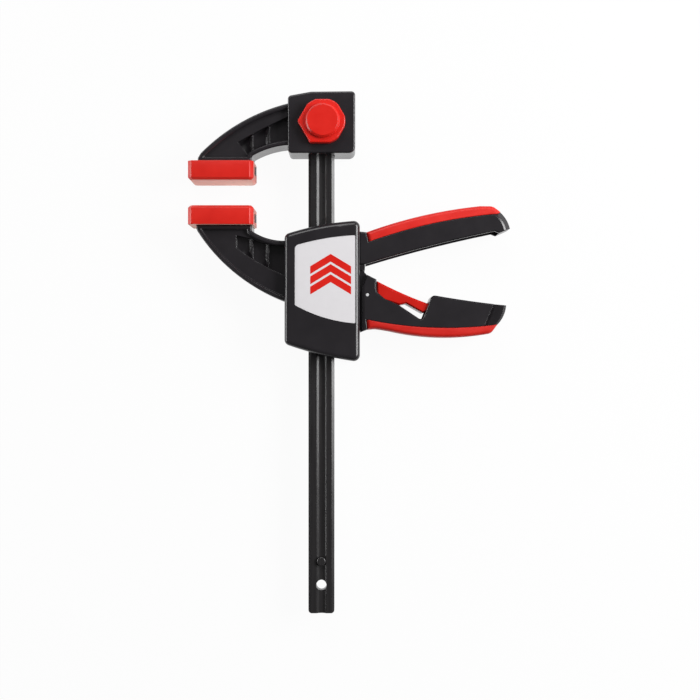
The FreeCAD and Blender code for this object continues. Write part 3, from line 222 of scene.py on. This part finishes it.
# Jaw pads. Caps of red rubber, pushed onto the jaws' tongues, with a window in one side for the
# catch. The moulding leaves every edge a little round, and the face is smooth so as not to mark.
RED = (0.780, 0.0150, 0.0070)
RED_DEEP = (0.700, 0.0110, 0.0055)
RED_CLOUDS = (70, 70, 70)
PAD_EDGE = 0.28 * MM
PAD_PITS = 0.008 * MM
PAD_ROUGHNESS = (0.30, 0.38)
RED_EDGE = 0.3 * MM
RUBBER_BLOOM = 0.9
BLOOM_ROUGHNESS = 0.4
BLOOM_TINT = (1.0, 0.72, 0.58)
SAME_PLACE = 0.001 * MM
FLAT_ANGLE = math.radians(1)
SHARP_ANGLE = math.radians(25)
EDGE_STEPS = 3
bodies = frame["record"]["behaviour"]["bodies"]


def red_finish(name, roughness, pit_depth, edge, bloom=0.0, painted_shade=1.0):
    """Red right through, with fine pits. Bloom is the pale film that rubber gets at its edges."""
    finish, shader = new_finish(name)
    pits = grain(finish, SPARKED_GRAIN, SPARKED_DETAIL)
    clouds = grain(finish, RED_CLOUDS)
    # Painted shade: the red is multiplied by the shade factor given, which makes darker copies of
    # one red.
    feed(finish, shader.inputs["Base Color"],
         blended(finish, between(finish, clouds, 0, 1), [painted_shade * c for c in RED_DEEP],
                 [painted_shade * c for c in RED]))
    feed(finish, shader.inputs["Roughness"], between(finish, clouds, *roughness))
    shader.inputs["Sheen Weight"].default_value = bloom
    shader.inputs["Sheen Roughness"].default_value = BLOOM_ROUGHNESS
    shader.inputs["Sheen Tint"].default_value = (*BLOOM_TINT, 1.0)
    relief(finish, shader, pits, pit_depth, edge)
    return finish


def stand_for(node, mesh, finish):
    """A piece that takes the place of a CAD node and moves with its body."""
    piece = bpy.data.objects.new(node + "_shaped", mesh)
    bpy.context.scene.collection.objects.link(piece)
    mesh.materials.clear()
    mesh.materials.append(finish)
    for polygon in mesh.polygons:
        polygon.use_smooth = True
    mesh.set_sharp_from_angle(angle=SHARP_ANGLE)
    body = [name for name, nodes in bodies.items() if node in nodes][0]
    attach(piece, body)
    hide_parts(node)
    return piece


def rounded_copy(node, edge):
    """The mesh of a CAD node with flat faces made whole and every sharp edge rounded."""
    shape = bmesh.new()
    shape.from_mesh(cad[node].data)
    bmesh.ops.remove_doubles(shape, verts=shape.verts, dist=SAME_PLACE)
    bmesh.ops.dissolve_limit(shape, angle_limit=FLAT_ANGLE, verts=shape.verts, edges=shape.edges)
    sharp = [e for e in shape.edges if len(e.link_faces) == 2 and e.calc_face_angle() > SHARP_ANGLE]
    bmesh.ops.bevel(shape, geom=sharp, offset=edge, segments=EDGE_STEPS, profile=0.5,
                    affect="EDGES", clamp_overlap=True)
    mesh = bpy.data.meshes.new(node)
    shape.to_mesh(mesh)
    shape.free()
    return mesh


pad_red = red_finish("red rubber", PAD_ROUGHNESS, PAD_PITS, RED_EDGE, RUBBER_BLOOM)
for pad in ("fixed_jaw_pad", "moving_jaw_pad"):
    stand_for(pad, rounded_copy(pad, PAD_EDGE), pad_red)

# Knob and release lever. Hard red plastic with a low gloss from a polished tool. A ring holds the
# knob's sleeve in the head, and the lever turns on its pin between the lower handle's cheeks.
HARD_PITS = 0.006 * MM
HARD_EDGE = 0.4 * MM
KNOB_ROUGHNESS = (0.28, 0.36)
LEVER_ROUGHNESS = (0.24, 0.32)
LEVER_PAINTED_SHADE = 0.82

paint(red_finish("hard red plastic", KNOB_ROUGHNESS, HARD_PITS, HARD_EDGE), "knob")
# Painted shade: the lever is a copy of the knob's hard red plastic with its red darkened to 0.82.
paint(red_finish("hard red plastic, painted shade", LEVER_ROUGHNESS, HARD_PITS, HARD_EDGE, painted_shade=LEVER_PAINTED_SHADE),
      "release_lever")

# Grips. Strips of soft red rubber moulded onto both handles, well rounded where the hand closes
# round them and fine-edged along the seam with the black plastic.
GRIP_ROUND = 2.6 * MM
GRIP_STEPS = 8
SEAM_ROUND = 0.35 * MM
GRIP_ROUGHNESS = (0.40, 0.50)
GRIP_PITS = 0.016 * MM
# Painted shade: the lower grip is a copy of the upper grip's soft red rubber, its red darkened to
# 0.86.
UPPER_GRIP_PAINTED_SHADE = 1.0
LOWER_GRIP_PAINTED_SHADE = 0.86
UPRIGHT = 0.5
FACES_SEAM = 0.6


def middle_outline(node):
    """A face with the outline that a CAD node has half way through its depth."""
    shape = bmesh.new()
    shape.from_mesh(cad[node].data)
    bmesh.ops.remove_doubles(shape, verts=shape.verts, dist=SAME_PLACE)
    everything = shape.verts[:] + shape.edges[:] + shape.faces[:]
    bmesh.ops.bisect_plane(shape, geom=everything, plane_co=(0, 0, 0), plane_no=(0, 0, 1),
                           clear_outer=True, clear_inner=True)
    bmesh.ops.dissolve_limit(shape, angle_limit=FLAT_ANGLE / 2, verts=shape.verts,
                             edges=shape.edges)
    bmesh.ops.contextual_create(shape, geom=shape.edges[:])
    return shape


def grip_strip(node, seam_side):
    """A strip through the handle's depth, round outside and fine-edged at the seam."""
    low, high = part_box(node)
    shape = middle_outline(node)
    bmesh.ops.translate(shape, verts=shape.verts, vec=(0, 0, low.z))
    pulled = bmesh.ops.extrude_face_region(shape, geom=shape.faces[:])
    top = [v for v in pulled["geom"] if isinstance(v, bmesh.types.BMVert)]
    bmesh.ops.translate(shape, verts=top, vec=(0, 0, high.z - low.z))
    bmesh.ops.recalc_face_normals(shape, faces=shape.faces)
    seam, outside = [], []
    for edge in shape.edges:
        a, b = edge.verts
        wall = [f for f in edge.link_faces if abs(f.normal.z) < UPRIGHT]
        if abs(a.co.z - b.co.z) > MM or not wall:
            continue
        (seam if wall[0].normal.y * seam_side > FACES_SEAM else outside).append(edge)
    bmesh.ops.bevel(shape, geom=outside, offset=GRIP_ROUND, segments=GRIP_STEPS, profile=0.5,
                    affect="EDGES", clamp_overlap=False)
    seam = [e for e in seam if e.is_valid]
    bmesh.ops.bevel(shape, geom=seam, offset=SEAM_ROUND, segments=EDGE_STEPS, profile=0.5,
                    affect="EDGES", clamp_overlap=False)
    mesh = bpy.data.meshes.new(node)
    shape.to_mesh(mesh)
    shape.free()
    return mesh


for grip, seam_side, painted_shade in (("upper_grip", -1, UPPER_GRIP_PAINTED_SHADE),
                               ("lower_grip", 1, LOWER_GRIP_PAINTED_SHADE)):
    soft_red = red_finish("soft red rubber, " + grip, GRIP_ROUGHNESS, GRIP_PITS, RED_EDGE,
                          painted_shade=painted_shade)
    stand_for(grip, grip_strip(grip, seam_side), soft_red)

# Label. A thin pale plate under clear film, sunk into the front cover's bed, with three broad
# arrows printed on it in red that point to the fixed jaw.
LABEL_PALE = (0.78, 0.76, 0.78)
LABEL_LIGHT = (0.82, 0.80, 0.82)
LABEL_CLOUDS = (200, 200, 200)
LABEL_ROUGHNESS = (0.28, 0.36)
ARROW_MIDDLE = 72.0 * MM
ARROW_HALF = 13.2 * MM
ARROW_FOOT = -74.5 * MM
ARROW_RISE = 8.0 * MM
ARROW_BAND = 5.0 * MM
ARROW_GAP = 1.6 * MM
ARROWS = 3
INK = 0.05 * MM
INK_PITS = 0.002 * MM
INK_EDGE = 0.02 * MM


def label_film():
    """Pale grey with the faintest clouds, under a film that shines a little."""
    finish, shader = new_finish("pale plate under film")
    clouds = grain(finish, LABEL_CLOUDS)
    feed(finish, shader.inputs["Base Color"], blended(finish, clouds, LABEL_PALE, LABEL_LIGHT))
    feed(finish, shader.inputs["Roughness"], between(finish, clouds, *LABEL_ROUGHNESS))
    return finish


def printed_arrows():
    """Three arrow heads as one thin layer of ink on the label."""
    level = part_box("label")[1].z
    shape = bmesh.new()
    for arrow in range(ARROWS):
        foot = ARROW_FOOT + arrow * (ARROW_BAND + ARROW_GAP)
        outline = [(-ARROW_HALF, foot), (0, foot + ARROW_RISE), (ARROW_HALF, foot),
                   (ARROW_HALF, foot + ARROW_BAND), (0, foot + ARROW_RISE + ARROW_BAND),
                   (-ARROW_HALF, foot + ARROW_BAND)]
        face = shape.faces.new([shape.verts.new((ARROW_MIDDLE + x, y, level)) for x, y in outline])
        pulled = bmesh.ops.extrude_face_region(shape, geom=[face])
        raised = [v for v in pulled["geom"] if isinstance(v, bmesh.types.BMVert)]
        bmesh.ops.translate(shape, verts=raised, vec=(0, 0, INK))
    bmesh.ops.recalc_face_normals(shape, faces=shape.faces)
    mesh = bpy.data.meshes.new("label_print")
    shape.to_mesh(mesh)
    shape.free()
    return mesh


paint(label_film(), "label")
label_print = bpy.data.objects.new("label_print", printed_arrows())
bpy.context.scene.collection.objects.link(label_print)
label_print.data.materials.append(red_finish("red ink", LABEL_ROUGHNESS, INK_PITS, INK_EDGE))
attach(label_print, "carriage")

# Pins, plates, rod and rocker, held between the casing's covers. Steel, ground all over. The lever
# pin's ends are turned, left bright and seen beside the casing.
STEEL = (0.62, 0.62, 0.63)
STEEL_DARK = (0.50, 0.50, 0.51)
PIN_BRIGHT = (0.92, 0.92, 0.93)
GRINDING_MARKS = (2000, 2000, 200)
STEEL_ROUGHNESS = (0.25, 0.40)
BRIGHT_ROUGHNESS = (0.70, 0.80)


def ground_steel(name, light, dark, roughness):
    """Bare steel with fine marks that run up its sides."""
    finish, shader = new_finish(name)
    marks = grain(finish, GRINDING_MARKS)
    feed(finish, shader.inputs["Base Color"], blended(finish, marks, dark, light))
    shader.inputs["Metallic"].default_value = 1.0
    feed(finish, shader.inputs["Roughness"], between(finish, marks, *roughness))
    return finish


paint(ground_steel("ground steel", STEEL, STEEL_DARK, STEEL_ROUGHNESS), "handle_pivot_pin",
      "rocker_pin", "lock_pin", "push_rod", "release_rocker", "drive_plate", "brake_plate")
paint(ground_steel("bright pin end", PIN_BRIGHT, STEEL, BRIGHT_ROUGHNESS), "release_lever_pin")

# Springs and the knob's ring. Drawn spring steel, oiled, darker than the plates. Each coil has one
# end against a wall. Here it takes its CAD node's place at full length; its travel is not used.
SPRING_LIGHT = (0.38, 0.38, 0.39)
SPRING_DARK = (0.28, 0.28, 0.29)
SPRING_ROUGHNESS = (0.30, 0.42)
DRIVE_TRAVEL = 2.72 * MM
BRAKE_TRAVEL = 1.35 * MM
LOCK_TRAVEL = 3.61 * MM

spring_steel = ground_steel("drawn spring steel", SPRING_LIGHT, SPRING_DARK, SPRING_ROUGHNESS)
paint(spring_steel, "knob_ring")
for spring, joint, axis, still_end, travel in (
        ("drive_spring", "drive_plate_slide", 1, 0, DRIVE_TRAVEL),
        ("brake_spring", "brake_plate_tilt", 1, 0, BRAKE_TRAVEL),
        ("lock_pin_spring", "lock_pin_slide", 2, 1, LOCK_TRAVEL)):
    coil = stand_for(spring, cad[spring].data.copy(), spring_steel)
    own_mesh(coil)

# Cover screws. Blackened steel, driven from the rear through the cover, with faint paler marks that
# run up their sides.
SCREW_RUBBED = (0.075, 0.073, 0.075)
SCREW_BLACK = (0.045, 0.043, 0.045)
SCREW_ROUGHNESS = (0.32, 0.45)

paint(ground_steel("blackened screws", SCREW_RUBBED, SCREW_BLACK, SCREW_ROUGHNESS), "cover_screws")

# Floor and light. The clamp lies on a white table that is lit until it stops showing, with a
# broad softbox on the right, weaker ones on the left and beyond the fixed jaw, and a dim room.
FLOOR_HALF = 4.0
FLOOR_LIT = 0.95
FLOOR_PALE = (0.80, 0.80, 0.80)
FLOOR_LIGHT = (0.84, 0.84, 0.84)
FLOOR_CLOUDS = (3, 3, 3)
FLOOR_ROUGHNESS = 0.9
ROOM_LIGHT = 0.11
ROOM_LOW = (0.05, 0.35)
ROOM_HIGH = (0.6, 1.0)


def floor_finish():
    """A matt white that the camera and every reflection see lit, and that still takes a shadow."""
    finish, shader = new_finish("white table")
    clouds = grain(finish, FLOOR_CLOUDS)
    feed(finish, shader.inputs["Base Color"], blended(finish, clouds, FLOOR_PALE, FLOOR_LIGHT))
    shader.inputs["Roughness"].default_value = FLOOR_ROUGHNESS
    glow = add_node(finish, "ShaderNodeEmission", Color=(1, 1, 1, 1), Strength=1.0)
    path = add_node(finish, "ShaderNodeLightPath")
    seen = path.outputs["Is Camera Ray"]
    for ray in ("Is Glossy Ray", "Is Transmission Ray"):
        either = add_node(finish, "ShaderNodeMath", {"operation": "MAXIMUM"})
        feed(finish, either.inputs[0], seen)
        feed(finish, either.inputs[1], path.outputs[ray])
        seen = either.outputs[0]
    share = add_node(finish, "ShaderNodeMath", {"operation": "MULTIPLY"})
    feed(finish, share.inputs[0], seen)
    share.inputs[1].default_value = FLOOR_LIT
    mix = add_node(finish, "ShaderNodeMixShader")
    feed(finish, mix.inputs[0], share.outputs[0])
    feed(finish, mix.inputs[1], shader.outputs["BSDF"])
    feed(finish, mix.inputs[2], glow.outputs["Emission"])
    output = [n for n in finish.node_tree.nodes if n.type == "OUTPUT_MATERIAL"][0]
    feed(finish, output.inputs["Surface"], mix.outputs["Shader"])
    return finish


table = bpy.data.meshes.new("floor")
corners = [(x * FLOOR_HALF, y * FLOOR_HALF, cad_box[0].z)
           for x, y in ((-1, -1), (1, -1), (1, 1), (-1, 1))]
table.from_pydata(corners, [], [(0, 1, 2, 3)])
floor = bpy.data.objects.new("floor", table)
bpy.context.scene.collection.objects.link(floor)
table.materials.append(floor_finish())

world = bpy.data.worlds.new("dim room")
bpy.context.scene.world = world
world.use_nodes = True
world.node_tree.nodes.clear()
tree = world.node_tree
place = tree.nodes.new("ShaderNodeTexCoord")
split = tree.nodes.new("ShaderNodeSeparateXYZ")
ramp = tree.nodes.new("ShaderNodeValToRGB")
light = tree.nodes.new("ShaderNodeBackground")
sky = tree.nodes.new("ShaderNodeOutputWorld")
tree.links.new(place.outputs["Generated"], split.inputs[0])
tree.links.new(split.outputs["Z"], ramp.inputs["Fac"])
tree.links.new(ramp.outputs["Color"], light.inputs["Color"])
tree.links.new(light.outputs[0], sky.inputs["Surface"])
for stop, (height, tone) in zip(ramp.color_ramp.elements, (ROOM_LOW, ROOM_HIGH)):
    stop.position = height
    stop.color = (tone, tone, tone, 1)
light.inputs["Strength"].default_value = ROOM_LIGHT


def softbox(name, turn, lift, distance, width, length, radiance):
    """An area lamp aimed at the clamp, its long side level. Turn is degrees from the right."""
    aim = Vector((CAMERA_PLACE[0], CAMERA_PLACE[1], 0))
    around = math.radians(turn)
    angle = math.radians(lift)
    out = Vector((math.cos(around), math.sin(around), 0))
    spot = aim + out * (distance * math.cos(angle)) + Vector((0, 0, distance * math.sin(angle)))
    lamp = bpy.data.lights.new(name, "AREA")
    lamp.shape = "RECTANGLE"
    lamp.size = length
    lamp.size_y = width
    lamp.energy = radiance * math.pi * width * length
    box = bpy.data.objects.new(name, lamp)
    box.location = spot
    facing = (spot - aim).normalized()
    sideways = Vector((0, 0, 1)).cross(facing).normalized()
    upward = facing.cross(sideways).normalized()
    box.rotation_euler = Matrix((sideways, upward, facing)).transposed().to_euler()
    bpy.context.scene.collection.objects.link(box)


softbox("right softbox", turn=14, lift=36, distance=1.1, width=0.46, length=0.72, radiance=12.5)
softbox("left softbox", turn=176, lift=8, distance=0.9, width=0.22, length=0.80, radiance=7.5)
softbox("far softbox", turn=96, lift=40, distance=1.1, width=0.45, length=0.80, radiance=3.6)

bpy.context.scene.view_settings.view_transform = "Standard"
